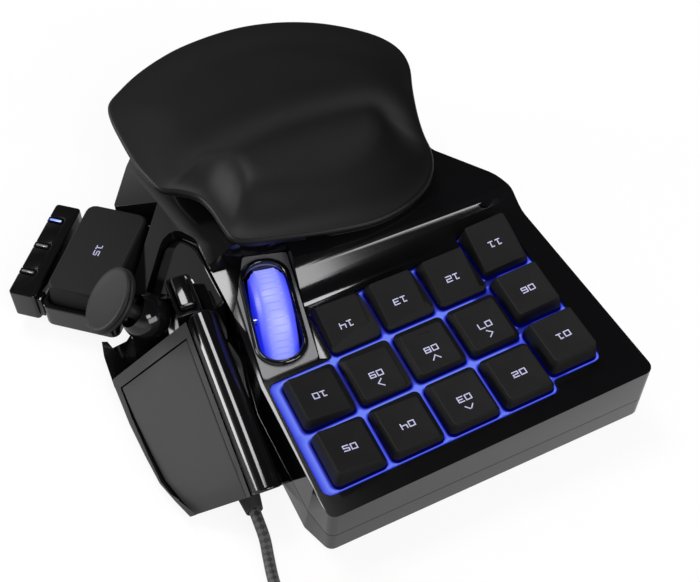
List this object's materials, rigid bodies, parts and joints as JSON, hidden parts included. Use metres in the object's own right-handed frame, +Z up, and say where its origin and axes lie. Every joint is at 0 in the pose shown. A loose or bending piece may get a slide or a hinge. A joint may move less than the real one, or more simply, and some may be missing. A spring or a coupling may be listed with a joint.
{
  "type": "gaming keypad",
  "caption": "Left-handed keypad with a sunk grid of lit keys, a scroll wheel, a thumb stick, a thumb button, a wide thumb key, a sliding palm rest and a braided cable.",
  "frame": {"origin": "centre of the footprint of the keypad without its cable, on the table", "axes": "+Z up, +Y away from the user towards the far edge with the cable, +X to the user's right towards the thumb controls"},
  "size_m": [0.1707, 0.3365, 0.0544],
  "materials": {
    "board_green": "solder resist",
    "braid_black": "woven braid over the cable",
    "gloss_black": "polished black moulding",
    "key_black": "fine matt keycap",
    "lens_grey": "unlit light pipe",
    "lit_blue": "translucent, lit from inside in blue",
    "rubber_black": "rubber",
    "satin_black": "satin black moulding",
    "sheet_grey": "silicone sheet",
    "soft_black": "soft-touch coating",
    "steel": "bright steel"
  },
  "bodies": {
    "case": {"top_shell": "gloss_black", "thumb_housing": "gloss_black", "ridge_trim": "gloss_black", "side_panel": "gloss_black", "wheel_bezel": "gloss_black", "wheel_ring": "gloss_black", "button_frame": "gloss_black", "thumb_tray": "gloss_black", "light_strip": "gloss_black", "pod_web": "gloss_black", "base_shell": "satin_black", "wheel_cradle": "satin_black", "palm_rail": "satin_black", "stick_socket": "satin_black", "cable_tie": "satin_black", "plug_body": "satin_black", "plug_tongue": "satin_black", "light_plate": "lit_blue", "light_pipe_1": "lit_blue", "light_pipe_2": "lens_grey", "light_pipe_3": "lens_grey", "main_board": "board_green", "dome_sheet": "sheet_grey", "foot_1": "rubber_black", "foot_2": "rubber_black", "foot_3": "rubber_black", "foot_4": "rubber_black", "foot_5": "rubber_black", "foot_6": "rubber_black", "strain_relief": "rubber_black", "cord_lead": "braid_black", "cord_coil": "braid_black", "wheel_axle": "steel", "plug_shell": "steel", "screw_1": "steel", "screw_2": "steel", "screw_3": "steel", "screw_4": "steel"},
    "wheel": {"scroll_wheel": "lit_blue"},
    "stick_ring": {"gimbal_ring": "steel"},
    "stick": {"stick_cap": "soft_black"},
    "thumb_button": {"thumb_button": "gloss_black"},
    "palm_rest": {"palm_rest": "soft_black"},
    "key_01": {"key_01": "key_black"},
    "key_02": {"key_02": "key_black"},
    "key_03": {"key_03": "key_black"},
    "key_04": {"key_04": "key_black"},
    "key_05": {"key_05": "key_black"},
    "key_06": {"key_06": "key_black"},
    "key_07": {"key_07": "key_black"},
    "key_08": {"key_08": "key_black"},
    "key_09": {"key_09": "key_black"},
    "key_10": {"key_10": "key_black"},
    "key_11": {"key_11": "key_black"},
    "key_12": {"key_12": "key_black"},
    "key_13": {"key_13": "key_black"},
    "key_14": {"key_14": "key_black"},
    "key_15": {"key_15": "key_black"}
  },
  "joints": [
    {"name": "key_01_press", "type": "slide", "parent": "case", "child": "key_01", "axis": [0, 0, -1], "range_m": [0, 0.0032], "stiffness_N_per_m": 150},
    {"name": "key_02_press", "type": "slide", "parent": "case", "child": "key_02", "axis": [0, 0, -1], "range_m": [0, 0.0032], "stiffness_N_per_m": 150},
    {"name": "key_03_press", "type": "slide", "parent": "case", "child": "key_03", "axis": [0, 0, -1], "range_m": [0, 0.0032], "stiffness_N_per_m": 150},
    {"name": "key_04_press", "type": "slide", "parent": "case", "child": "key_04", "axis": [0, 0, -1], "range_m": [0, 0.0032], "stiffness_N_per_m": 150},
    {"name": "key_05_press", "type": "slide", "parent": "case", "child": "key_05", "axis": [0, 0, -1], "range_m": [0, 0.0032], "stiffness_N_per_m": 150},
    {"name": "key_06_press", "type": "slide", "parent": "case", "child": "key_06", "axis": [0, 0, -1], "range_m": [0, 0.0032], "stiffness_N_per_m": 150},
    {"name": "key_07_press", "type": "slide", "parent": "case", "child": "key_07", "axis": [0, 0, -1], "range_m": [0, 0.0032], "stiffness_N_per_m": 150},
    {"name": "key_08_press", "type": "slide", "parent": "case", "child": "key_08", "axis": [0, 0, -1], "range_m": [0, 0.0032], "stiffness_N_per_m": 150},
    {"name": "key_09_press", "type": "slide", "parent": "case", "child": "key_09", "axis": [0, 0, -1], "range_m": [0, 0.0032], "stiffness_N_per_m": 150},
    {"name": "key_10_press", "type": "slide", "parent": "case", "child": "key_10", "axis": [0, 0, -1], "range_m": [0, 0.0032], "stiffness_N_per_m": 150},
    {"name": "key_11_press", "type": "slide", "parent": "case", "child": "key_11", "axis": [0, 0, -1], "range_m": [0, 0.0032], "stiffness_N_per_m": 150},
    {"name": "key_12_press", "type": "slide", "parent": "case", "child": "key_12", "axis": [0, 0, -1], "range_m": [0, 0.0032], "stiffness_N_per_m": 150},
    {"name": "key_13_press", "type": "slide", "parent": "case", "child": "key_13", "axis": [0, 0, -1], "range_m": [0, 0.0032], "stiffness_N_per_m": 150},
    {"name": "key_14_press", "type": "slide", "parent": "case", "child": "key_14", "axis": [0, 0, -1], "range_m": [0, 0.0032], "stiffness_N_per_m": 150},
    {"name": "key_15_press", "type": "slide", "parent": "case", "child": "key_15", "axis": [0, 0, -1], "range_m": [0, 0.003], "stiffness_N_per_m": 150},
    {"name": "thumb_button_press", "type": "slide", "parent": "case", "child": "thumb_button", "axis": [0, 0, -1], "range_m": [0, 0.0012], "stiffness_N_per_m": 300},
    {"name": "wheel_spin", "type": "hinge", "parent": "case", "child": "wheel", "pos_m": [0.01201, 0.02135, 0.022], "axis": [0.9781, -0.2079, 0], "continuous": true},
    {"name": "stick_sideways", "type": "hinge", "parent": "case", "child": "stick_ring", "pos_m": [0.04821, 0.00055, 0.019], "axis": [0.3363, 0.9417, 0], "range_deg": [-7, 7], "stiffness_Nm_per_rad": 0.05},
    {"name": "stick_lengthways", "type": "hinge", "parent": "stick_ring", "child": "stick", "pos_m": [0.04821, 0.00055, 0.019], "axis": [-0.6305, 0.2252, 0.7428], "range_deg": [-7, 7], "stiffness_Nm_per_rad": 0.05},
    {"name": "palm_rest_slide", "type": "slide", "parent": "case", "child": "palm_rest", "axis": [0, -1, 0], "range_m": [0, 0.015]}
  ]
}
